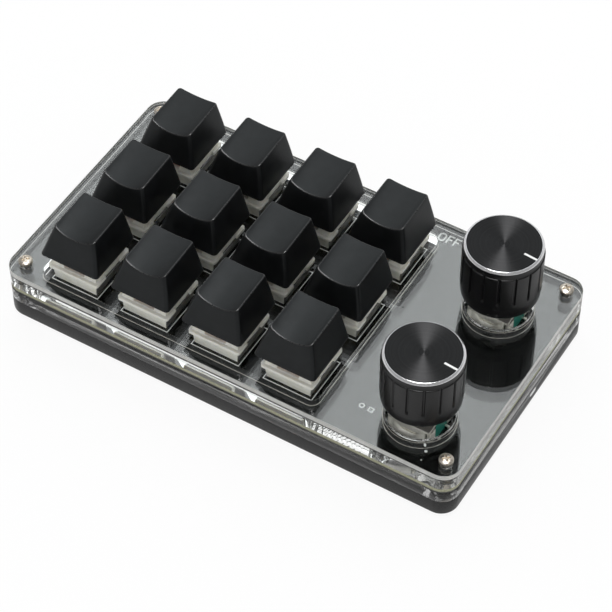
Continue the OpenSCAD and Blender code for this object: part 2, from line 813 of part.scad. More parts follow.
// Light guide in the tray's right wall
module status_window() {
    lip = 0.8;
    color([0.95, 0.95, 0.95])
    translate([body_w / 2 - tray_wall / 2, window_y, tray_top - window_drop])
        rotate([90, 0, 90]) {
            linear_extrude(tray_wall, center = true) round_rect(window_l, window_h, window_h / 2 - 0.01);
            translate([0, 0, -tray_wall / 2 - lip]) linear_extrude(lip)
                round_rect(window_l + 2 * lip, window_h + 1.5 * lip, window_h / 2);
        }
}

base_tray();
rubber_feet();
lower_frame();
circuit_board();
upper_frame();
top_plate();
corner_screws();
switch_bases();
switch_covers();
switch_contacts();
battery();
usb_port();
board_chips();
power_switch_body();
power_slider();
status_window();
encoder_bases();
encoder_brackets();
rotor(front_knob_y);  // front_rotor
shaft(front_knob_y);  // front_shaft
knob(front_knob_y);  // front_knob
rotor(rear_knob_y);  // rear_rotor
shaft(rear_knob_y);  // rear_shaft
knob(rear_knob_y);  // rear_knob
for (r = rows, c = cols) {
    keycap(r, c);
    stem(r, c);
    spring(r, c);
}
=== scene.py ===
from math import cos, pi, radians, sin, sqrt, tan
import bpy
import bmesh
import numpy as np
from mathutils import Matrix, Vector
from mathutils.geometry import tessellate_polygon


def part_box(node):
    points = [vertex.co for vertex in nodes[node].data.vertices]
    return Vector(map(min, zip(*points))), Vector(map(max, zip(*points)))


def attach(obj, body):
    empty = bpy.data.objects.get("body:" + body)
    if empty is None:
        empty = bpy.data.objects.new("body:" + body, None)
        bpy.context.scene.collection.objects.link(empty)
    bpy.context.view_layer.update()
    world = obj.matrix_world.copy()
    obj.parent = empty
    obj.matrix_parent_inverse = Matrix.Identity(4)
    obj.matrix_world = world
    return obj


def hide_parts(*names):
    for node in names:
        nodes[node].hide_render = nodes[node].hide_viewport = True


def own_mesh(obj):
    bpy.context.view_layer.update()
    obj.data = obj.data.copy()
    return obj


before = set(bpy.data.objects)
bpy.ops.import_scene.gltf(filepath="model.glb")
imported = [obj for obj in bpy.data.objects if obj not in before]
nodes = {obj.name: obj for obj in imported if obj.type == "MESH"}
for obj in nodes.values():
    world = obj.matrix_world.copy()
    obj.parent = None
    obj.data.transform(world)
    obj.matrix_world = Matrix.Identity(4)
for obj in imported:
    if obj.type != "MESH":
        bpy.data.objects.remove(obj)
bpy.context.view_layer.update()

mm = 0.001
scene = bpy.context.scene
fullTurn = 2 * pi
keys = [(r, c) for r in (1, 2, 3) for c in (1, 2, 3, 4)]
knobNames = ("front", "rear")
screwInset = (4.3, 5.1)  # from the case's sides to the screws, in millimetres
photoAzimuth = 30.958  # the photograph's angle round the object, in degrees


def boxOf(node):  # a CAD node's low and high corners, in millimetres
    low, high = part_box(node)
    return np.array(low) / mm, np.array(high) / mm


def middleOf(node):
    low, high = boxOf(node)
    return (low + high) / 2


plateHigh = boxOf("top_plate")[1][2]
caseLow, caseHigh = boxOf("circuit_board")
boardLow, boardHigh = caseLow[2], caseHigh[2]
caseWidth, caseDepth = (caseHigh - caseLow)[:2]
keySpots = {k: middleOf("stem_r%dc%d" % k)[:2] for k in keys}
knobSpots = {n: middleOf(n + "_knob")[:2] for n in knobNames}
screwSpots = [(sx * (caseWidth / 2 - screwInset[0]), sy * (caseDepth / 2 - screwInset[1]))
              for sx in (-1, 1) for sy in (-1, 1)]
print("frame:", len(nodes), "nodes")


# Shader maths: a wire wraps a socket, and sums on wires add nodes

class Wire:
    def __init__(self, paint, socket):
        self.paint, self.socket = paint, socket

    def maths(self, how, other=0.0, turned=False):
        sockets = {0: other, 1: self} if turned else {0: self, 1: other}
        return self.paint.add("ShaderNodeMath", sockets, {"operation": how})

    def __add__(self, other): return self.maths("ADD", other)
    def __sub__(self, other): return self.maths("SUBTRACT", other)
    def __rsub__(self, other): return self.maths("SUBTRACT", other, True)
    def __mul__(self, other): return self.maths("MULTIPLY", other)
    def __abs__(self): return self.maths("ABSOLUTE")
    def most(self, other): return self.maths("MAXIMUM", other)
    def above(self, level): return self.maths("GREATER_THAN", level)
    def wave(self): return self.maths("SINE")
    def root(self): return self.maths("SQRT")
    def ramp(self, low, high):  # 0 below low, 1 above high, smooth between
        return self.paint.add("ShaderNodeMapRange", {"Value": self, "From Min": low, "From Max": high},
                              {"interpolation_type": "SMOOTHSTEP"})


class Paint:
    def __init__(self, name, kind="materials"):
        self.material = getattr(bpy.data, kind).new(name)
        self.material.use_nodes = True
        self.tree = self.material.node_tree
        self.tree.nodes.clear()

    def add(self, kind, sockets=None, settings=None, out=0):
        node = self.tree.nodes.new(kind)
        for key, value in (settings or {}).items():
            setattr(node, key, value)
        for key, value in (sockets or {}).items():
            if isinstance(value, Wire):
                self.tree.links.new(value.socket, node.inputs[key])
            else:
                node.inputs[key].default_value = value
        return Wire(self, node.outputs[out]) if len(node.outputs) else node

    def spot(self, axes=""):  # place on the piece, in millimetres, then its X, Y or Z as asked for
        where = self.add("ShaderNodeTexCoord", out="Object")
        place = self.add("ShaderNodeVectorMath", {0: where, "Scale": 1 / mm}, {"operation": "SCALE"})
        if not axes:
            return place
        return place, *(self.add("ShaderNodeSeparateXYZ", {0: place}, out=axis) for axis in axes)

    def rays(self, *kinds):  # 1 for rays of each kind
        return [self.add("ShaderNodeLightPath", out="Is %s Ray" % kind) for kind in kinds]

    def noise(self, vector, scale, detail=2.0, rough=0.5, stretch=None):
        if stretch:
            vector = self.add("ShaderNodeVectorMath", {0: vector, 1: stretch}, {"operation": "MULTIPLY"})
        return self.add("ShaderNodeTexNoise",
                        {"Vector": vector, "Scale": scale, "Detail": detail, "Roughness": rough})

    def blend(self, mask, first, second):
        first, second = (v if isinstance(v, Wire) else (*v, 1.0) for v in (first, second))
        return self.add("ShaderNodeMix", {0: mask, 6: first, 7: second}, {"data_type": "RGBA"}, 2)

    def bump(self, height, depth, strength=1.0):
        return self.add("ShaderNodeBump", {"Height": height, "Distance": depth * mm, "Strength": strength})

    def finish(self, **sockets):
        named = {"base": "Base Color", "rough": "Roughness", "metal": "Metallic", "normal": "Normal", "ior": "IOR",
                 "clear": "Transmission Weight", "grain": "Anisotropic", "across": "Anisotropic Rotation",
                 "under": "Subsurface Weight", "mirror": "Specular IOR Level", "shine": "Specular Tint"}
        values = {named[k]: (*v, 1.0) if isinstance(v, tuple) else v for k, v in sockets.items()}
        if "under" in sockets:  # light wanders this far under the skin
            values.update({"Subsurface Radius": (0.8, 0.7, 0.5), "Subsurface Scale": 1.2 * mm})
        self.add("ShaderNodeOutputMaterial", {"Surface": self.add("ShaderNodeBsdfPrincipled", values)})
        return self.material


# Materials: a scale is noise cells per millimetre, levels set how much of a noise shows, relief is in millimetres

def clearAcrylic():
    look = {"tint": (0.985, 0.995, 0.99), "ior": 1.49, "rough": 0.004, "smudge": 0.008, "smudgeScale": 0.12,
            "levels": (0.45, 0.75), "wave": 0.0008, "waveScale": 0.30, "stretch": (1.0, 1.0, 0.2)}
    p = Paint("clearAcrylic")
    place = p.spot()
    smudge = p.noise(place, look["smudgeScale"], 3.0).ramp(*look["levels"])
    ripple = p.noise(place, look["waveScale"], 2.0, stretch=look["stretch"])
    return p.finish(base=look["tint"], clear=1.0, ior=look["ior"], rough=smudge * look["smudge"] + look["rough"],
                    normal=p.bump(ripple, look["wave"]))


def clearEdge():  # sawn and flame polished rim: faint upright cutter marks
    look = {"tint": (0.97, 0.985, 0.97), "ior": 1.49, "rough": 0.005, "uneven": 0.015, "patchScale": 0.5,
            "cut": 0.0003, "cutScale": 2.2, "stretch": (1.0, 1.0, 0.05)}
    p = Paint("clearEdge")
    place = p.spot()
    marks = p.noise(place, look["cutScale"], 2.0, stretch=look["stretch"])
    patch = p.noise(place, look["patchScale"], 2.0)
    return p.finish(base=look["tint"], clear=1.0, ior=look["ior"], rough=patch * look["uneven"] + look["rough"],
                    normal=p.bump(marks, look["cut"]))


def trayShadeRim():  # the lower sheet's rim, tinted grey: painted shade in place of the dark tray seen through it
    look = {"tint": (0.42, 0.42, 0.42), "pale": (0.52, 0.52, 0.52), "ior": 1.49, "rough": 0.07, "scale": 0.5,
            "stretch": (1.0, 1.0, 3.0), "levels": (0.35, 0.7)}
    p = Paint("trayShadeRim")
    cloud = p.noise(p.spot(), look["scale"], 3.0, stretch=look["stretch"])
    return p.finish(base=p.blend(cloud.ramp(*look["levels"]), look["tint"], look["pale"]), clear=1.0,
                    ior=look["ior"], rough=look["rough"])


def sawnRim(name, clear):  # a narrow rim left as sawn: partly milky, it glows with the light inside
    look = {"tint": (0.96, 0.96, 0.94), "deep": (0.86, 0.86, 0.82), "line": (0.42, 0.42, 0.40), "ior": 1.49,
            "rough": 0.22, "pitch": 0.62, "shift": 1.2, "lineLevels": (-0.75, 0.1), "scale": 0.8,
            "stretch": (1.0, 1.0, 0.3), "levels": (0.3, 0.7)}
    p = Paint(name)
    place, z = p.spot("Z")
    cloud = p.noise(place, look["scale"], 3.0, stretch=look["stretch"])
    saw = ((z - float(plateHigh)) * (fullTurn / look["pitch"]) + look["shift"]).wave().ramp(*look["lineLevels"])
    shade = p.blend(cloud.ramp(*look["levels"]), look["deep"], look["tint"])
    return p.finish(base=p.blend(saw, look["line"], shade), clear=clear, ior=look["ior"], rough=look["rough"])


def boardMask():  # black solder mask over a fine diagonal hatch of copper
    look = {"black": (0.006, 0.0066, 0.0066), "copper": (0.014, 0.0155, 0.015), "rough": 0.085, "uneven": 0.04,
            "hatch": 0.5, "levels": (0.55, 0.8), "peelScale": 1.6, "peel": 0.15, "relief": 0.0022, "strength": 0.4,
            "ior": 1.52}
    p = Paint("boardMask")
    place, x, y = p.spot("XY")
    steepness = sqrt(0.5) / look["hatch"] * fullTurn
    copper = ((x + y) * steepness).wave().most(((x - y) * steepness).wave()).ramp(*look["levels"])
    peel = p.noise(place, look["peelScale"], 3.0)
    height = copper * (1 - look["peel"]) + peel * look["peel"]
    return p.finish(base=p.blend(copper, look["black"], look["copper"]), rough=peel * look["uneven"] + look["rough"],
                    ior=look["ior"], normal=p.bump(height, look["relief"], look["strength"]))


def boardEdge():  # cut glass fibre: olive in its top millimetre, dark below
    look = {"resin": (0.19, 0.19, 0.115), "glass": (0.48, 0.48, 0.34), "lowerTone": (0.058, 0.058, 0.055), "rough": 0.62,
            "layer": 0.2, "layerShare": 0.25, "lip": 1.0, "scale": 2.6, "stretch": (1.0, 1.0, 0.5),
            "levels": (0.38, 0.62), "relief": 0.03}
    p = Paint("boardEdge")
    place, z = p.spot("Z")
    layers = (z * (fullTurn / look["layer"])).wave() * 0.5 + 0.5
    fibre = p.noise(place, look["scale"], 4.0, 0.65, stretch=look["stretch"])
    mask = (layers * look["layerShare"] + fibre * (1 - look["layerShare"])).ramp(*look["levels"])
    lip = z.above(float(boardHigh) - look["lip"])
    return p.finish(base=p.blend(lip, look["lowerTone"], p.blend(mask, look["resin"], look["glass"])), rough=look["rough"],
                    normal=p.bump(fibre, look["relief"]))


def keycapBlack():
    look = {"black": (0.0040, 0.0043, 0.0047), "worn": (0.0062, 0.0068, 0.0074), "rough": 0.28, "cloudRough": 0.10,
            "grainRough": 0.06, "grain": 0.012, "grainScale": 9.0, "cloudScale": 0.35, "levels": (0.35, 0.7),
            "shine": (0.93, 0.98, 1.0), "mirror": 0.33}
    p = Paint("keycapBlack")
    place = p.spot()
    grain = p.noise(place, look["grainScale"], 3.0, 0.6)
    cloud = p.noise(place, look["cloudScale"], 3.0)
    return p.finish(base=p.blend(cloud.ramp(*look["levels"]), look["black"], look["worn"]),
                    rough=cloud * look["cloudRough"] + grain * look["grainRough"] + look["rough"], ior=1.5,
                    mirror=look["mirror"], shine=look["shine"], normal=p.bump(grain, look["grain"]))


def knobGrip():  # black anodised and turned: fine rings round the axis
    look = {"black": (0.0035, 0.0035, 0.0038), "dust": (0.007, 0.007, 0.0073), "rough": 0.24, "ringRough": 0.14,
            "ringScale": 6.0, "stretch": (0.15, 0.15, 1.0), "dustScale": 3.0, "levels": (0.4, 0.75),
            "relief": 0.015, "mirror": 0.38}
    p = Paint("knobGrip")
    place = p.spot()
    rings = p.noise(place, look["ringScale"], 2.0, stretch=look["stretch"])
    dust = p.noise(place, look["dustScale"], 3.0)
    return p.finish(base=p.blend(dust.ramp(*look["levels"]), look["black"], look["dust"]),
                    rough=rings * look["ringRough"] + look["rough"], metal=0.0, ior=1.5, mirror=look["mirror"],
                    normal=p.bump(rings, look["relief"]))


def knobTopBrushed(centre):  # rings from the facing cut, as on a record
    look = {"black": (0.030, 0.030, 0.031), "pale": (0.052, 0.052, 0.053), "rough": 0.42, "ringRough": 0.05,
            "ring": 0.17, "ringShare": 0.35, "unevenScale": 1.4, "levels": (0.25, 0.75), "grain": 0.97,
            "across": 0.25}
    p = Paint("knobTopBrushed")
    x, y = p.spot("XY")[1:]
    dx, dy = x - float(centre[0]), y - float(centre[1])
    radius = (dx * dx + dy * dy).root()
    rings = (radius * (fullTurn / look["ring"])).wave() * 0.5 + 0.5
    uneven = p.noise(radius, look["unevenScale"], 4.0)
    mask = (rings * look["ringShare"] + uneven * (1 - look["ringShare"])).ramp(*look["levels"])
    return p.finish(base=p.blend(mask, look["black"], look["pale"]), metal=1.0,
                    rough=rings * look["ringRough"] + look["rough"], grain=look["grain"], across=look["across"])


def milkyNylon(name, tone, deep, paintedShade=None):
    look = {"rough": 0.42, "grainRough": 0.12, "grain": 0.01, "grainScale": 8.0, "cloudScale": 0.6,
            "levels": (0.3, 0.7), "sheetHigh": 15.2, "facing": 0.7, "under": 0.25}
    p = Paint(name)
    place, z = p.spot("Z")
    cloud = p.noise(place, look["cloudScale"], 3.0)
    grain = p.noise(place, look["grainScale"], 2.0)
    shade = p.blend(cloud.ramp(*look["levels"]), deep, tone)
    if paintedShade:  # painted shade: below the clear sheet, the sides that face along the rows are painted dark, in place of the shade cast by the keycaps and the plate
        facing = p.add("ShaderNodeSeparateXYZ", {0: p.add("ShaderNodeNewGeometry", out="Normal")})
        shade = p.blend(abs(facing).above(look["facing"]) * (look["sheetHigh"] - z).above(0.0), shade, paintedShade)
    return p.finish(base=shade, rough=grain * look["grainRough"] + look["rough"], under=look["under"],
                    normal=p.bump(grain, look["grain"]))


def mouldedPlastic(name, tone, deep, rough, grain=0.02, mirror=0.5, keep=None):
    look = {"cloudScale": 0.4, "levels": (0.3, 0.7), "sparkScale": 5.0, "sparkRough": 0.15}
    p = Paint(name)
    place = p.spot()
    cloud = p.noise(place, look["cloudScale"], 3.0)
    spark = p.noise(place, look["sparkScale"], 3.0, 0.6)
    shade = p.blend(cloud.ramp(*look["levels"]), deep, tone)
    if keep:  # a place mask, and the tone outside it
        shade = p.blend(keep[0](p), keep[1], shade)
    return p.finish(base=shade, rough=spark * look["sparkRough"] + rough, mirror=mirror, normal=p.bump(spark, grain))


def tealSpan(p):  # 1 from 2.5 mm in front of each knob's axis to 3.7 mm behind it, 0 further to the front and rear
    look = {"front": -2.5, "rear": 3.7, "edge": 0.1}
    y, masks = p.spot("Y")[1], []
    for name in knobNames:
        middle = float(knobSpots[name][1])
        masks.append((y - middle).ramp(look["front"] - look["edge"], look["front"]) *
                     (middle + look["rear"] + look["edge"] - y).ramp(0.0, look["edge"]))
    return masks[0].most(masks[1])


def rolledMetal(name, tone, dull, rough, stretch=(1.0, 1.0, 6.0)):
    look = {"lineScale": 2.5, "lineShare": 0.6, "stainScale": 0.7, "levels": (0.35, 0.65), "lineRough": 0.22,
            "relief": 0.015}
    p = Paint(name)
    place = p.spot()
    lines = p.noise(place, look["lineScale"], 4.0, 0.6, stretch=stretch)
    stain = p.noise(place, look["stainScale"], 2.0)
    mask = (lines * look["lineShare"] + stain * (1 - look["lineShare"])).ramp(*look["levels"])
    return p.finish(base=p.blend(mask, dull, tone), metal=1.0, rough=lines * look["lineRough"] + rough,
                    normal=p.bump(lines, look["relief"]))


def trayBlack():
    look = {"black": (0.006, 0.006, 0.0062), "pale": (0.010, 0.010, 0.0102), "rough": 0.20, "grainRough": 0.10,
            "rubRough": 0.06, "grain": 0.02, "grainScale": 4.0, "rubScale": 0.25, "levels": (0.4, 0.7),
            "mirror": 0.52}
    p = Paint("trayBlack")
    place = p.spot()
    grain = p.noise(place, look["grainScale"], 4.0, 0.65)
    rub = p.noise(place, look["rubScale"], 3.0)
    return p.finish(base=p.blend(rub.ramp(*look["levels"]), look["black"], look["pale"]),
                    rough=grain * look["grainRough"] + rub * look["rubRough"] + look["rough"], ior=1.5,
                    mirror=look["mirror"], normal=p.bump(grain, look["grain"]))


def patchy(name, look):  # one noise gives the tone, the gloss and the relief
    p = Paint(name)
    patch = p.noise(p.spot(), look["scale"], look["detail"], look.get("lumps", 0.5), look.get("stretch"))
    rest = {key: look[key] for key in ("metal", "ior", "mirror") if key in look}
    rest["rough"] = patch * look["patchRough"] + look["rough"] if "patchRough" in look else look["rough"]
    if "relief" in look:
        rest["normal"] = p.bump(patch, look["relief"])
    return p.finish(base=p.blend(patch.ramp(*look["levels"]), look["deep"], look["tone"]), **rest)


paints = {
    "clear": clearAcrylic(), "edge": clearEdge(), "sawn": sawnRim("sawnRim", 0.36), "side": sawnRim("sawnSide", 0.70),
    "trayShade": trayShadeRim(), "mask": boardMask(), "fibre": boardEdge(), "cap": keycapBlack(), "grip": knobGrip(),
    "tray": trayBlack(),
    "print": patchy("printedWhite", {
        "tone": (0.97, 0.98, 0.97), "deep": (0.90, 0.91, 0.90), "scale": 9.0, "detail": 3.0, "levels": (0.3, 0.6),
        "rough": 0.45, "relief": 0.01}),
    "rim": patchy("capRimHighlight", {  # the rim of the finger dish: glossier, with a lighter tone painted on as a highlight
        "tone": (0.012, 0.0125, 0.013), "deep": (0.007, 0.0075, 0.008), "scale": 1.2, "detail": 3.0,
        "levels": (0.35, 0.7), "rough": 0.24, "patchRough": 0.08, "ior": 1.5, "mirror": 0.75}),
    "cut": patchy("brightCut", {
        "tone": (0.96, 0.96, 0.97), "deep": (0.74, 0.74, 0.76), "scale": 3.0, "detail": 3.0,
        "stretch": (1.0, 1.0, 6.0), "levels": (0.3, 0.7), "rough": 0.08, "patchRough": 0.08, "relief": 0.004,
        "metal": 0.78}),
    "screw": patchy("screwNickel", {
        "tone": (0.97, 0.91, 0.82), "deep": (0.66, 0.58, 0.48), "scale": 2.2, "detail": 4.0, "lumps": 0.6,
        "levels": (0.35, 0.7), "rough": 0.20, "patchRough": 0.2, "relief": 0.02, "metal": 1.0}),
    "copper": patchy("bareCopper", {
        "tone": (0.80, 0.50, 0.40), "deep": (0.55, 0.30, 0.22), "scale": 1.5, "detail": 4.0,
        "levels": (0.35, 0.65), "rough": 0.28, "patchRough": 0.2, "relief": 0.01, "metal": 1.0}),
    "frost": mouldedPlastic("sawnAcrylic", (0.62, 0.58, 0.52), (0.42, 0.40, 0.37), 0.5, 0.01),
    # painted shadow for the seam between the sheets
    "seam": mouldedPlastic("seamShade", (0.05, 0.05, 0.048), (0.03, 0.03, 0.03), 0.6),
    # the housing's third tone is painted shade on its sides below the clear sheet
    "base": milkyNylon("switchHousing", (0.80, 0.79, 0.73), (0.73, 0.72, 0.65), (0.10, 0.10, 0.092)),
    "cover": milkyNylon("switchCover", (0.82, 0.81, 0.75), (0.74, 0.73, 0.66)),
    "stem": mouldedPlastic("stemPlastic", (0.05, 0.05, 0.055), (0.04, 0.04, 0.042), 0.35),
    # teal only over a span round each knob's axis, near-black towards the front and rear
    "teal": mouldedPlastic("encoderTeal", (0.01, 0.21, 0.16), (0.008, 0.16, 0.12), 0.35,
                           keep=(tealSpan, (0.012, 0.012, 0.012))),
    "white": mouldedPlastic("whitePlastic", (0.80, 0.80, 0.77), (0.72, 0.72, 0.69), 0.35),
    "rubber": mouldedPlastic("footRubber", (0.03, 0.03, 0.03), (0.022, 0.022, 0.022), 0.7, 0.04, 0.3),
    "chip": mouldedPlastic("chipBlack", (0.03, 0.03, 0.032), (0.022, 0.022, 0.024), 0.45),
    "window": mouldedPlastic("windowMilky", (0.90, 0.90, 0.90), (0.85, 0.85, 0.85), 0.2, 0.005),
    "foil": rolledMetal("batteryFoil", (0.72, 0.73, 0.74), (0.60, 0.61, 0.62), 0.3, (1.0, 1.0, 1.0)),
    "steel": rolledMetal("drawnSteel", (0.68, 0.67, 0.66), (0.55, 0.54, 0.53), 0.22),
    "bracket": rolledMetal("bracketSteel", (0.97, 0.96, 0.90), (0.85, 0.83, 0.77), 0.34),
    "spring": rolledMetal("springSteel", (0.62, 0.62, 0.64), (0.5, 0.5, 0.52), 0.25),
    "shaft": rolledMetal("turnedShaft", (0.74, 0.74, 0.74), (0.62, 0.62, 0.62), 0.22),
}
paints.update({name + "Top": knobTopBrushed(knobSpots[name]) for name in knobNames})
print("materials:", len(paints))


def placed(name, data):
    made = bpy.data.objects.new(name, data)
    scene.collection.objects.link(made)
    return made


# Surfaces, each made as its points, its faces, and a material slot and a smooth mark for every face

def makePiece(name, made, painted, body, replaced=(), spot=(0, 0, 0)):
    points, faces, which, smooth = made
    mesh = bpy.data.meshes.new(name)
    mesh.from_pydata(((np.asarray(points, float) + spot) * mm).tolist(), [], faces)
    for key in painted:
        mesh.materials.append(paints[key])
    mesh.polygons.foreach_set("material_index", which)
    mesh.polygons.foreach_set("use_smooth", smooth)
    mesh.update()
    piece = placed(name, mesh)
    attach(piece, body)
    if replaced:
        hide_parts(*replaced)
    return piece


def smoothed(points, faces):  # a surface with one material, smooth all over
    return points, faces, [0] * len(faces), [True] * len(faces)


def gridFaces(rows, columns, start=0):  # quads between the rings of a grid, rows upward
    i, j = np.meshgrid(np.arange(rows - 1), np.arange(columns), indexing="ij")
    k = (j + 1) % columns
    quads = np.stack([i * columns + j, i * columns + k, (i + 1) * columns + k, (i + 1) * columns + j], -1)
    return (quads.reshape(-1, 4) + start).tolist()


def fan(start, count, tip, up=True):  # triangles from a ring to one point
    faces = [[start + i, start + (i + 1) % count, tip] for i in range(count)]
    return faces if up else [[b, a, t] for a, b, t in faces]


def circles(profile, angle):  # a ring of points round the axis for each radius (or radii) and height
    return [np.stack([r * np.cos(angle), r * np.sin(angle), np.full(len(angle), z)], -1) for r, z in profile]


def roundLoop(width, depth, radius, steps=8, centre=(0, 0)):  # rectangle outline with four quarter circles
    turn = np.linspace(0, pi / 2, steps + 1)
    corners = []
    for q, (sx, sy) in enumerate(((1, 1), (-1, 1), (-1, -1), (1, -1))):
        a = turn + q * pi / 2
        corners.append(np.stack([sx * (width / 2 - radius) + radius * np.cos(a),
                                 sy * (depth / 2 - radius) + radius * np.sin(a)], -1))
    return np.concatenate(corners) + np.asarray(centre)


def ringLoop(radius, steps=64, centre=(0, 0)):
    a = np.arange(steps) * fullTurn / steps
    return np.stack([np.cos(a), np.sin(a)], -1) * radius + np.asarray(centre)


def mitred(ahead, behind, least):  # normals right of a line, longer at its corners to keep an even inset
    n1, n2 = (np.stack([way[:, 1], -way[:, 0]], -1) / np.maximum(np.linalg.norm(way, axis=1, keepdims=True), 1e-9)
              for way in (ahead, behind))
    both = (n1 + n2) / np.linalg.norm(n1 + n2, axis=1, keepdims=True)
    return both / np.maximum((both * n1).sum(1, keepdims=True), least)


def outward(loop):  # normals of a counter-clockwise outline
    return mitred(np.roll(loop, -1, 0) - loop, loop - np.roll(loop, 1, 0), 0.4)


def sheetPiece(outer, holes, low, high, edge=0.15, steps=3, rimSlot=1, rightOnly=False):
    # A flat sheet: every outline is carried up a profile of two quarter rounds, and flats close both faces.
    # Flats take material slot 0, walls slot 1, and the outer wall, or its right side only, the rim's slot
    turn = np.linspace(0, pi / 2, steps + 1)
    inset = np.concatenate([edge * (1 - np.sin(turn)), edge * (1 - np.cos(turn))])
    height = np.concatenate([low + edge * (1 - np.cos(turn)), high - edge * (1 - np.sin(turn))])
    points, faces, which, tops, bottoms = [], [], [], [], []
    start = 0
    for index, loop in enumerate([outer, *holes]):
        side = -1.0 if index == 0 else 1.0
        normal = outward(loop)
        rings = loop[None] + side * normal[None] * inset[:, None, None]
        up = np.broadcast_to(height[:, None, None], (*rings.shape[:2], 1))
        points.append(np.concatenate([rings, up], -1).reshape(-1, 3))
        quads = gridFaces(len(inset), len(loop), start)
        faces += quads if index == 0 else [q[::-1] for q in quads]
        right = np.tile(normal[:, 0] > 0.95, len(inset) - 1)
        which += [rimSlot if index == 0 and (turned or not rightOnly) else 1 for turned in right]
        bottoms.append((start, rings[0]))
        tops.append((start + (len(inset) - 1) * len(loop), rings[-1]))
        start += len(inset) * len(loop)
    walls = len(faces)
    for rims, upward in ((bottoms, False), (tops, True)):
        number = np.concatenate([np.arange(len(loop)) + first for first, loop in rims])
        flat = np.concatenate([loop for first, loop in rims])
        for tri in tessellate_polygon([[Vector((*p, 0)) for p in loop] for first, loop in rims]):
            a, b, c = flat[list(tri)]
            turned = (b[0] - a[0]) * (c[1] - a[1]) - (b[1] - a[1]) * (c[0] - a[0]) > 0
            tri = number[list(tri)]
            faces.append((tri if turned == upward else tri[::-1]).tolist())
            which.append(0)
    smooth = [True] * walls + [False] * (len(faces) - walls)
    return np.concatenate(points), faces, which, smooth


def joined(parts):  # several made surfaces as one
    points, faces, which, smooth, start = [], [], [], [], 0
    for p, f, w, s in parts:
        points.append(p)
        faces += [[v + start for v in face] for face in f]
        which += list(w)
        smooth += list(s)
        start += len(p)
    return np.concatenate(points), faces, which, smooth


def stroke(path, width, low, thick, closed=False):
    # A printed line: the path is carried as a flat band, with square ends and mitred corners
    path = np.asarray(path, float)
    step = np.diff(np.concatenate([path, path[:1]]) if closed else path, axis=0)
    ahead = step if closed else np.concatenate([step, step[-1:]])
    behind = np.roll(step, 1, 0) if closed else np.concatenate([step[:1], step])
    side = mitred(ahead, behind, 0.3) * width / 2
    left, right = path - side, path + side
    count = len(path)
    high = np.full((count, 1), low + thick)
    rows = np.concatenate([np.hstack([left, high]), np.hstack([right, high]),
                           np.hstack([right, high - thick]), np.hstack([left, high - thick])])
    i = np.arange(count if closed else count - 1)
    k = (i + 1) % count
    faces = []
    for a, b in ((0, 1), (1, 2), (2, 3), (3, 0)):
        faces += np.stack([i + a * count, i + b * count, k + b * count, k + a * count], -1).tolist()
    if not closed:
        last = count - 1
        faces.append([0, 3 * count, 2 * count, count])
        faces.append([last, last + count, last + 2 * count, last + 3 * count])
    return rows, faces, [0] * len(faces), [False] * len(faces)


def softCopy(name, node, paint, width, steps=2):
    # A copy of one of the case's CAD solids with its loose triangles merged and its edges rounded
    look = {"merge": 0.004, "flat": 1.0, "angle": 30}
    mesh = nodes[node].data.copy()
    mesh.name = name
    solid = bmesh.new()
    solid.from_mesh(mesh)
    bmesh.ops.remove_doubles(solid, verts=solid.verts, dist=look["merge"] * mm)
    bmesh.ops.dissolve_limit(solid, angle_limit=radians(look["flat"]), verts=solid.verts, edges=solid.edges)
    solid.to_mesh(mesh)
    solid.free()
    mesh.materials.clear()
    mesh.materials.append(paints[paint])
    mesh.polygons.foreach_set("material_index", [0] * len(mesh.polygons))
    mesh.shade_smooth()
    piece = placed(name, mesh)
    bevel = piece.modifiers.new("edges", "BEVEL")
    bevel.width, bevel.segments, bevel.limit_method = width * mm, steps, "ANGLE"
    bevel.angle_limit = radians(look["angle"])
    bevel.use_clamp_overlap = True
    bevel.harden_normals = True
    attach(piece, "case")
    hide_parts(node)
    return piece


# Clear plates

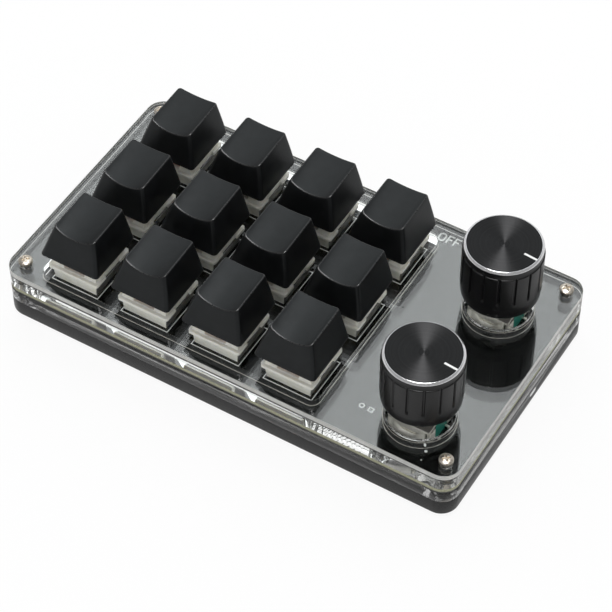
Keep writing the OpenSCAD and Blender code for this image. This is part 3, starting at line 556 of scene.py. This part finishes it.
def clearPlates():
    look = {"air": 0.03, "edge": 0.06, "corner": 5.0, "cutout": 14.0, "cutoutRadius": 0.3, "knobHole": 18.16,
            "ringHole": 19.0, "screwHole": 3.2, "window": (-59.2, -33, 26, 33), "windowRadius": 2.5, "skin": 1.7,
            "seamInset": 0.2, "seamWide": 0.2, "seamHigh": 0.25, "arris": 0.14, "arrisGap": 0.02,
            "ringArris": 0.11, "ringGap": 0.08, "thick": 0.02, "gap": 0.004}
    air, edge = look["air"], look["edge"]
    outer = roundLoop(caseWidth, caseDepth, look["corner"], 12)
    clear = ["clear", "edge", "sawn"]
    seam = plateHigh - look["skin"]  # the top sheet is as thin as in the photograph, and a frame fills the rest
    holes = [roundLoop(look["cutout"], look["cutout"], look["cutoutRadius"], 3, s) for s in keySpots.values()]
    holes += [ringLoop(look["knobHole"] / 2, 96, s) for s in knobSpots.values()]
    holes += [ringLoop(look["screwHole"] / 2, 40, s) for s in screwSpots]
    makePiece("topPlate", sheetPiece(outer, holes, seam + air, plateHigh, edge, rimSlot=2), clear, "case",
              ["top_plate"])
    x0, y0, x1, y1 = look["window"]
    middle = ((x0 + x1) / 2, (y0 + y1) / 2)
    holes = [roundLoop(x1 - x0, y1 - y0, look["windowRadius"], 8, middle)]
    holes += [ringLoop(look["ringHole"] / 2, 96, s) for s in knobSpots.values()]
    holes += [ringLoop(look["screwHole"] / 2, 48, s) for s in screwSpots]
    made = sheetPiece(outer, holes, boardHigh + air, seam - air, edge, rimSlot=3, rightOnly=True)
    makePiece("upperFrame", made, clear + ["side"], "case", ["upper_frame"])
    # a dark band inside the sheets just behind the outer wall at their seam: painted shadow of the joint
    inset = look["seamInset"]
    band = roundLoop(caseWidth - 2 * inset, caseDepth - 2 * inset, look["corner"] - inset, 12)
    made = stroke(band, look["seamWide"], seam - 2 * air - look["seamHigh"], look["seamHigh"], True)
    makePiece("seamShadowBand", made, ["seam"], "case")
    wide, foot = look["arris"], boardHigh + look["gap"]  # the window's saw-cut foot shows as a pale line
    grown = wide + 2 * look["arrisGap"]
    line = roundLoop(x1 - x0 + grown, y1 - y0 + grown, look["windowRadius"] + wide / 2, 8, middle)
    parts = [stroke(line, wide, foot, look["thick"], True)]
    for s in knobSpots.values():
        ring = ringLoop(look["ringHole"] / 2 + look["ringGap"], 96, s)
        parts += [stroke(ring, look["ringArris"], low, look["thick"], True) for low in (foot, seam - 0.01)]
    makePiece("windowArris", joined(parts), ["frost"], "case")
    lowerFrame(air)
    print("clear plates")


def lowerFrame(air):
    # The CAD solid drawn in by a hair above and below, so that it lies apart from its neighbours as real sheets do
    mesh = softCopy("lowerFrame", "lower_frame", "clear", 0.06).data
    mesh.materials.append(paints["trayShade"])
    points = np.empty(len(mesh.vertices) * 3, np.float32)
    mesh.vertices.foreach_get("co", points)
    z = points[2::3]  # only the heights change
    low, high = z.min(), z.max()
    z[z > high - 1e-6] = high - air * mm
    z[z < low + 1e-6] = low + air * mm
    mesh.vertices.foreach_set("co", points)
    normals = np.empty(len(mesh.polygons) * 3, np.float32)
    mesh.polygons.foreach_get("normal", normals)
    mesh.polygons.foreach_set("material_index", (np.abs(normals[2::3]) < 0.5).astype(np.int32))  # walls get the painted tray shade
    mesh.update()


# Circuit board and what is printed on it

def circuitBoard():
    look = {"corner": 5.0, "inset": 0.05, "peg": 4.06, "pinHole": 1.5, "pins": [(3.81, -2.54), (-2.54, -5.08)],
            "screwHole": 2.4, "edge": 0.06}
    outer = roundLoop(caseWidth - 2 * look["inset"], caseDepth - 2 * look["inset"], look["corner"], 12)
    holes = [ringLoop(look["screwHole"] / 2, 32, s) for s in screwSpots]
    for spot in keySpots.values():
        holes.append(ringLoop(look["peg"] / 2, 32, spot))
        holes += [ringLoop(look["pinHole"] / 2, 16, spot + np.array(p)) for p in look["pins"]]
    made = sheetPiece(outer, holes, boardLow, boardHigh, look["edge"], 2)
    makePiece("circuitBoard", made, ["mask", "fibre"], "case", ["circuit_board"])


def boardPrint():
    look = {"line": 0.26, "thick": 0.02, "gap": 0.002, "square": 14.5, "icon": 0.36, "iconHalf": 0.62,
            "round": (35.7, -26.0), "boxed": (38.4, -26.05), "dots": ((0.42, (56.8, -30.3)), (0.2, (57.1, -33.3))),
            "letter": 0.48, "oval": (25.25, 35.1), "ovalSize": (1.75, 2.5, 0.8), "lefts": (27.0, 29.1),
            "letterLow": 33.7, "letterHigh": 36.4, "letterMiddle": 35.15, "arms": (1.5, 1.2)}
    z, thick = boardHigh + look["gap"], look["thick"]
    corners = np.array([(-1, -1), (1, -1), (1, 1), (-1, 1)])
    parts = [stroke(spot + corners * look["square"] / 2, look["line"], z, thick, True) for spot in keySpots.values()]
    parts.append(stroke(ringLoop(look["iconHalf"], 32, look["round"]), look["icon"], z, thick, True))
    parts.append(stroke(corners * look["iconHalf"] + look["boxed"], look["icon"], z, thick, True))
    for radius, spot in look["dots"]:  # bare solder
        parts.append(sheetPiece(ringLoop(radius, 20, spot), [], z, z + thick, 0.004, 1))
    parts.append(stroke(roundLoop(*look["ovalSize"], 6, look["oval"]), look["letter"], z, thick, True))
    low, high, middle = look["letterLow"], look["letterHigh"], look["letterMiddle"]
    for left in look["lefts"]:  # two letters F: an upright and two arms
        long, short = (left + arm for arm in look["arms"])
        parts.append(stroke([(left, low), (left, high), (long, high)], look["letter"], z, thick))
        parts.append(stroke([(left, middle), (short, middle)], look["letter"], z + 0.004, thick))
    points, faces, which, smooth = joined(parts)
    makePiece("boardPrint", (points, faces, [0] * len(which), smooth), ["print"], "case")
    print("circuit board")


# Keycaps, in millimetres from the middle of the foot

cap = {"base": 18.1, "topWidth": 12.5, "topDepth": 14.0, "back": 1.65, "height": 9.5, "dishFront": 1.15,
       "dishBack": 0.60, "frontBulge": 0.55, "tilt": 1.5, "rim": 0.26, "lip": 0.25, "lowCorner": 1.15,
       "highCorner": 0.95, "wall": 1.35, "bow": 0.10, "topThick": 2.6, "cornerSteps": 8, "sideSteps": 10,
       "topRings": (0.96, 0.9, 0.8, 0.68, 0.55, 0.42, 0.3, 0.18, 0.08), "rimHighlightRows": range(13, 18),
       "post": 2.7, "postHeights": (1.6, 7.6), "postEdge": 0.12, "cross": (4.06, 1.31)}


def capRing(height, inset):
    # Outline at a height: its sides lean in with a slight bow, and its corner radius changes evenly
    t = height / cap["height"]
    base = cap["base"] / 2
    half = base + (cap["topWidth"] / 2 - base) * t - inset + cap["bow"] * sin(pi * min(max(t, 0), 1))
    front = -base + (cap["back"] - cap["topDepth"] / 2 + base) * t + inset
    back = base + (cap["back"] + cap["topDepth"] / 2 - base) * t - inset
    radius = max(cap["lowCorner"] + (cap["highCorner"] - cap["lowCorner"]) * t - inset * 0.6, 0.3)
    return roundLoop(2 * half, back - front, radius, cap["cornerSteps"], (0, (back + front) / 2))


def bowed(loop, t):
    # The front side bows towards the user by a parabola that grows with the square of the height
    middle = (loop[:, 1].max() + loop[:, 1].min()) / 2
    nearer = np.clip((middle - loop[:, 1]) / 2, 0, 1)
    across = np.abs(loop[:, 0]) / np.abs(loop[:, 0]).max()
    out = loop.copy()
    out[:, 1] -= cap["frontBulge"] * t ** 2 * (1 - across ** 2) * nearer
    return out


def dishHeight(xy):
    # The finger dish: a parabola across the key, whose depth grows evenly from the back edge to the front edge
    across = np.clip(np.abs(xy[..., 0]) / (cap["topWidth"] / 2), 0, 1.03)
    along = (xy[..., 1] - cap["back"]) / cap["topDepth"] + 0.5  # 0 at the front edge, 1 at the back
    sag = cap["dishFront"] + (cap["dishBack"] - cap["dishFront"]) * along
    return cap["height"] - sag * (1 - across ** 2) + xy[..., 1] * tan(radians(cap["tilt"]))


def sideLoop(height, inset):
    # The outline at a height, with the same number of points on every side at every height
    ring = capRing(height, inset)
    out, per = [], cap["cornerSteps"] + 1
    for q in range(4):
        corner = ring[q * per:(q + 1) * per]
        following = ring[((q + 1) * per) % len(ring)]
        out.append(corner)
        run = np.linspace(0, 1, cap["sideSteps"] + 2)[1:-1, None]
        out.append(corner[-1] + (following - corner[-1]) * run)
    return bowed(np.concatenate(out), min(max(height / cap["height"], 0), 1.1))


def raised(loop, z):  # a flat outline at one height, or at one for each point
    return np.column_stack([loop, np.broadcast_to(z, len(loop))])


def leaning(z, inset):  # the outline with each point taken at its own height
    return raised(np.array([sideLoop(h, inset)[i] for i, h in enumerate(z)]), z)


def keycapMesh():
    lip, rim, wall = cap["lip"], cap["rim"], cap["wall"]
    rings = [raised(sideLoop(0, lip * (1 - sin(a))), lip * (1 - cos(a)))
             for a in np.linspace(0, pi / 2, 4)]  # rounded lower lip
    topZ = dishHeight(sideLoop(cap["height"], 0))
    n = len(topZ)
    for t in np.linspace(0.1, 1.0, 9):  # wall, up to where the rim's round begins
        rings.append(leaning(np.maximum(t * (topZ - rim), lip), 0))
    for a in np.linspace(0, pi / 2, 7)[1:]:  # quarter round of the rim
        rings.append(leaning(topZ - rim + rim * sin(a), rim * (1 - cos(a))))
    centre = np.array([0, cap["back"]])
    last = rings[-1][:, :2]
    drop = rings[-1][:, 2] - dishHeight(last)
    for k in cap["topRings"]:
        flat = centre + (last - centre) * k
        rings.append(raised(flat, dishHeight(flat) + drop * max(0.0, (k - 0.9) / 0.1)))
    faces = gridFaces(len(rings), n)
    # the rim's rows take the glossier material with the painted highlight
    which = [int(i // n in cap["rimHighlightRows"]) for i in range(len(faces))]
    tip = len(rings) * n
    faces += fan(tip - n, n, tip)
    # the hollow: the same outline a wall's thickness further in, turned inside out
    roof = cap["height"] - cap["topThick"]
    hollow = [raised(sideLoop(h, inset), h) for h, inset in (
        (0.08, wall - 0.15), (0.3, wall), (roof * 0.5, wall), (roof - 0.6, wall), (roof - 0.15, wall + 0.2),
        (roof, wall + 0.7))]
    start = tip + 1
    end = start + len(hollow) * n
    faces += [f[::-1] for f in gridFaces(len(hollow), n, start)]
    faces += [[(i + 1) % n, i, start + i, start + (i + 1) % n] for i in range(n)]
    faces += fan(end - n, n, end, False)
    points = np.concatenate([*rings, [[*centre, dishHeight(centre)]], *hollow, [[0, cap["back"] / 2, roof]]])
    return points, faces, which + [0] * (len(faces) - len(which)), [True] * len(faces)


def capSocket():  # round post with a cross-shaped socket
    w, t = (size / 2 for size in cap["cross"])
    cross = np.array([(w, -t), (w, t), (t, t), (t, w), (-t, w), (-t, t), (-w, t), (-w, -t), (-t, -t), (-t, -w),
                      (t, -w), (t, -t)])
    made = sheetPiece(ringLoop(cap["post"], 40), [cross], *cap["postHeights"], cap["postEdge"], 2)
    return made[0], made[1], [0] * len(made[1]), made[3]


def keycaps():
    made = joined([keycapMesh(), capSocket()])
    for key in keys:
        node = "keycap_r%dc%d" % key
        makePiece("keycap_%d_%d" % key, made, ["cap", "rim"], "key_r%dc%d" % key,
                  [node], (*keySpots[key], boxOf(node)[0][2]))
    print("keycaps:", len(keys))


# Knobs

def knobRadius(look, z, angle):
    # Distance from the axis: a slightly tapered barrel with evenly spaced straight grooves and a tucked foot
    foot = np.clip((look["footTaper"] - z) / look["footTaper"], 0, 1.3)
    tuck = np.clip((look["tuckHigh"] - look["skirt"] - z) / look["tuckHigh"], 0, 1)
    r = look["radius"] - look["footLean"] * foot - look["tuck"] * tuck ** 2
    pitch = fullTurn / look["grooves"]
    near = np.abs(((angle - look["phase"]) / pitch + 0.5) % 1 - 0.5) * pitch
    across = near * look["radius"] / (look["grooveWidth"] / 2)
    wall = np.clip((1.0 - across) / look["grooveSide"], 0, 1)
    ends = np.clip((z - look["grooveLow"]) / look["grooveEnd"], 0, 1)
    ends *= np.clip((look["gripHigh"] + 0.01 - z) / 0.02, 0, 1)
    return r - look["grooveDepth"] * wall * ends


def capped(rings, low, high):  # rings closed by a point on the axis at the first and at the last
    n, end = len(rings[0]), len(rings) * len(rings[0])
    faces = gridFaces(len(rings), n) + fan(0, n, end, False) + fan(end - n, n, end + 1)
    return smoothed(np.concatenate([*rings, [[0, 0, low], [0, 0, high]]]), faces)


def knob(side):
    look = {"radius": 10.7, "height": 16.4, "grooves": 16, "grooveWidth": 0.7, "grooveDepth": 0.6,
            "grooveSide": 0.22, "grooveEnd": 0.5, "grooveLow": 4.0, "footTaper": 2.4, "footLean": 0.22, "tuck": 0.4,
            "tuckHigh": 0.5, "gripHigh": 14.0, "collar": 10.4, "collarHigh": 15.8, "topRadius": 9.85, "around": 640,
            "faceAround": 192, "hollow": 8.2, "hollowHigh": 2.4, "pointer": (6.0, 9.72, 0.62),
            "pointerTurn": -4.2, "pointerThick": 0.03, "shaft": 3.03, "boreHigh": 9.5, "faceLift": 0.006,
            "phase": radians(8.0 if side == "front" else 0.0),
            "skirt": 0.4 if side == "front" else 1.3}  # the skirt hangs this far below the CAD knob's foot
    spot = (*knobSpots[side], boxOf(side + "_knob")[0][2])
    body = side + "_knob_set"
    n, drop, grip = look["around"], look["skirt"], look["gripHigh"]
    angle = np.arange(n) * fullTurn / n
    shaft, hollow, roof = look["shaft"], look["hollow"], look["hollowHigh"]
    collar, flat = look["collar"], look["collarHigh"]
    under = ((shaft, roof), (hollow - 0.2, roof), (hollow, roof - 0.2), (hollow, 0.15 - drop),
             (hollow + 0.15, -drop), (knobRadius(look, -drop, angle[:1])[0] - 0.05, -drop))
    heights = np.concatenate([np.array([0.0, 0.12, 0.3, 0.5]) - drop, np.linspace(0.9, 3.6, 5),
                              np.linspace(3.9, 4.7, 7), np.linspace(5.5, 13.5, 6), [13.75]])
    rounded = ((0.0, grip - 0.2), (0.06, grip - 0.08), (0.2, grip))
    above = ((collar + 0.02, grip), (collar, grip + 0.03), (collar, flat - 0.5), (collar, flat - 0.08),
             (collar - 0.02, flat))
    barrel = [(knobRadius(look, z, angle), z) for z in heights]
    barrel += [(knobRadius(look, min(z, grip - 0.01), angle) - inset, z) for inset, z in rounded]
    rings = circles([*under, *barrel, *above], angle)
    # the blind shaft bore closes the underside, and a disc under the bevel closes the top
    low, bore = len(rings) * n, look["boreHigh"]
    points = np.concatenate([*rings, *circles([(shaft, bore)], angle), [[0, 0, bore], [0, 0, flat]]])
    faces = gridFaces(len(rings), n)
    faces += [[low + i, low + (i + 1) % n, (i + 1) % n, i] for i in range(n)]
    faces += fan(low, n, low + n, False) + fan(low - n, n, low + n + 1)
    makePiece(side + "KnobGrip", smoothed(points, faces), ["grip"], body, [side + "_knob"], spot)
    # bright bevel, brushed face and printed pointer
    angle = np.arange(look["faceAround"]) * fullTurn / look["faceAround"]
    rim, high, top = look["topRadius"], look["height"], look["height"] + look["faceLift"]
    bevel = ((collar - 0.3, flat), (collar - 0.02, flat), (collar, flat + 0.06), (collar - 0.03, flat + 0.13),
             (rim + 0.06, high - 0.05), (rim, high - 0.01), (rim - 0.1, high))
    face = ((rim - 0.1, high - 0.01), (rim - 0.1, high), (rim - 0.17, top), (6.0, top), (3.0, top), (0.4, top))
    made = capped(circles(bevel, angle), flat, high - 0.01)
    makePiece(side + "KnobBevel", made, ["cut"], body, (), spot)
    made = capped(circles(face, angle), high - 0.01, top)
    makePiece(side + "KnobFace", made, [side + "Top"], body, (), spot)
    start, stop, width = look["pointer"]
    turn = radians(look["pointerTurn"])
    made = stroke(np.outer((start, stop), (cos(turn), sin(turn))), width, high, look["pointerThick"])
    makePiece(side + "KnobPointer", made, ["print"], body, (), spot)
    print("knob:", side)


# Return springs: wound wire, made to fit the CAD spring's length; the real spring shortens as its key goes down

def coilSprings():
    look = {"radius": 2.2, "wire": 0.19, "turns": 10, "steps": 16, "sides": 6, "travel": 4.0, "room": 0.15}
    count = look["turns"] * look["steps"] + 1
    turn = np.linspace(0, fullTurn * look["turns"], count)
    around = np.arange(look["sides"]) * fullTurn / look["sides"]
    for r, c in keys:
        node = "spring_r%dc%d" % (r, c)
        low, high = boxOf(node)
        length = high[2] - low[2] - 2 * look["room"]
        rise = np.linspace(look["wire"], length - look["wire"], count)
        # the wire's rings stand upright across the helix: distance from the axis is the coil radius plus a cosine
        out = look["radius"] + look["wire"] * np.cos(around)[None, :]
        x, y = out * np.cos(turn)[:, None], out * np.sin(turn)[:, None]
        z = rise[:, None] + look["wire"] * np.sin(around)[None, :]
        points = np.stack((x, y, z), axis=2).reshape(-1, 3)
        faces = [f[::-1] for f in gridFaces(count, look["sides"])]
        ends = list(range(look["sides"]))
        faces += [ends, [len(points) - look["sides"] + k for k in ends[::-1]]]
        foot = np.array([*middleOf(node)[:2], low[2] + look["room"]])
        piece = makePiece("coil_%d_%d" % (r, c), smoothed(points, faces), ["spring"], "case",
                          [node], foot)
        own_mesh(piece)
    print("springs:", len(keys))


# Everything that keeps its CAD shape gets its finish

def restyle():
    looks = {
        "rubber_feet": "rubber", "switch_contacts": "copper", "battery": "foil",
        "usb_port": "steel", "board_chips": "chip", "power_switch_body": "steel", "power_slider": "white",
        "status_window": "window", "encoder_bases": "teal",
        "front_rotor": "white", "rear_rotor": "white", "front_shaft": "shaft", "rear_shaft": "shaft",
    }
    looks.update({"stem_r%dc%d" % key: "stem" for key in keys})
    for node, look in looks.items():
        nodes[node].data.materials.clear()
        nodes[node].data.materials.append(paints[look])
    softCopy("baseTray", "base_tray", "tray", 0.2)
    softCopy("cornerScrews", "corner_screws", "screw", 0.12, 3)
    softCopy("encoderBrackets", "encoder_brackets", "bracket", 0.05)
    softCopy("switchBases", "switch_bases", "base", 0.12)
    softCopy("switchCovers", "switch_covers", "cover", 0.15)
    print("restyled:", len(looks))


# Floor, light and camera

def studio():
    look = {"floor": (0.80, 0.80, 0.80), "keep": 0.90, "near": 0.62, "beyond": 0.88, "wall": 0.62, "dim": 0.24,
            "wallHigh": (0.16, 0.36), "behind": (0.30, 0.50), "fill": 0.85, "panelReach": 1.25,
            "panelSize": (1.25, 1.1), "panelGlow": 0.86, "panelTurn": 8, "panelRise": 50,
            "panelTint": (0.93, 0.98, 1.0), "stripHigh": 1.1, "stripSize": (0.34, 0.60), "stripGlow": 11.0}
    p = Paint("paleFloor")
    direct, glossy, through = p.rays("Camera", "Glossy", "Transmission")
    matt = p.add("ShaderNodeBsdfDiffuse", {"Color": (*look["floor"], 1.0)})
    soft = p.add("ShaderNodeBsdfDiffuse", {"Color": (1 - look["keep"],) * 3 + (1.0,)})
    glow = p.add("ShaderNodeEmission", {
        "Color": (1, 1, 1, 1), "Strength": (direct * look["keep"]).most(through * look["beyond"]).most(look["near"])})
    pale = p.add("ShaderNodeAddShader", {0: soft, 1: glow})
    mixed = p.add("ShaderNodeMixShader", {0: direct.most(glossy).most(through), 1: matt, 2: pale})
    p.add("ShaderNodeOutputMaterial", {"Surface": mixed})
    mesh = bpy.data.meshes.new("floor")
    mesh.from_pydata([(-4, -4, 0), (4, -4, 0), (4, 4, 0), (-4, 4, 0)], [], [(0, 1, 2, 3)])
    mesh.materials.append(p.material)
    placed("floor", mesh)
    # The room: white for the camera; glossy and clear surfaces meet a white wall low down and a dim room above it
    w = Paint("studio", "worlds")
    scene.world = w.material
    way = w.add("ShaderNodeTexCoord", out="Generated")
    back, height = (w.add("ShaderNodeSeparateXYZ", {0: way}, out=axis) for axis in "YZ")
    direct, glossy, through = w.rays("Camera", "Glossy", "Transmission")
    clean = 1.0 - w.add("ShaderNodeLightPath", out="Diffuse Depth").above(0.5)  # 0 on the way to a matt surface
    room = (1.0 - height.ramp(*look["wallHigh"])) * (look["wall"] - look["dim"]) + look["dim"]
    seen = glossy.most(through) * clean
    beyond = through * clean * look["beyond"] * back.ramp(*look["behind"])
    strength = direct.most(seen * room).most(beyond).most((1.0 - direct) * (1.0 - seen) * look["fill"])
    glow = w.add("ShaderNodeBackground", {"Color": (1, 1, 1, 1), "Strength": strength})
    w.add("ShaderNodeOutputWorld", {"Surface": glow})
    azimuth, rise = radians(photoAzimuth + 180 - look["panelTurn"]), radians(look["panelRise"])
    toPanel = Vector((sin(azimuth) * cos(rise), -cos(azimuth) * cos(rise), sin(rise)))
    panel = softbox("backPanel", toPanel * look["panelReach"], look["panelSize"], look["panelGlow"])
    panel.data.color = look["panelTint"]
    strip = softbox("topStrip", Vector((0, 0, look["stripHigh"])), look["stripSize"], look["stripGlow"])
    strip.visible_transmission = strip.visible_diffuse = False


def softbox(name, place, size, glow):  # an area lamp that faces the object, its long side in line with the camera
    data = bpy.data.lights.new(name, "AREA")
    data.shape, data.size, data.size_y = "RECTANGLE", *size
    data.energy = glow * pi * size[0] * size[1]
    lamp = placed(name, data)
    away = place.normalized()
    right = Vector((cos(radians(photoAzimuth)), sin(radians(photoAzimuth)), 0))
    pose = Matrix((right, away.cross(right), away)).transposed().to_4x4()
    pose.translation = place
    lamp.matrix_world = pose
    lamp.visible_camera = False
    return lamp


def camera():
    look = {"azimuth": photoAzimuth, "elevation": 49.482, "roll": 0.157, "distance": 0.6399, "focal": 2447.43,
            "target": (0.007788, -0.007224, 0.0169), "sensor": 36, "pixels": 612, "clip": (0.05, 20)}
    a, e, roll = (radians(look[k]) for k in ("azimuth", "elevation", "roll"))
    back = Vector((sin(a) * cos(e), -cos(a) * cos(e), sin(e)))
    right = Vector((cos(a), sin(a), 0))
    up = back.cross(right)
    across = right * cos(roll) + up * sin(roll)
    along = up * cos(roll) - right * sin(roll)
    data = bpy.data.cameras.new("camera")
    data.sensor_fit, data.sensor_width = "HORIZONTAL", look["sensor"]
    data.lens = look["focal"] * look["sensor"] / look["pixels"]
    data.clip_start, data.clip_end = look["clip"]
    eye = placed("camera", data)
    place = Matrix((across, along, back)).transposed().to_4x4()
    place.translation = Vector(look["target"]) + back * look["distance"]
    eye.matrix_world = place
    scene.camera = eye
    scene.view_settings.view_transform = "Standard"
    cycles = scene.cycles  # light runs a long way inside the clear sheets before it leaves at an edge
    cycles.max_bounces, cycles.glossy_bounces, cycles.transmission_bounces = 40, 32, 40
    cycles.blur_glossy = 0.0


camera()
studio()
clearPlates()
circuitBoard()
boardPrint()
keycaps()
for side in knobNames:
    knob(side)
coilSprings()
restyle()
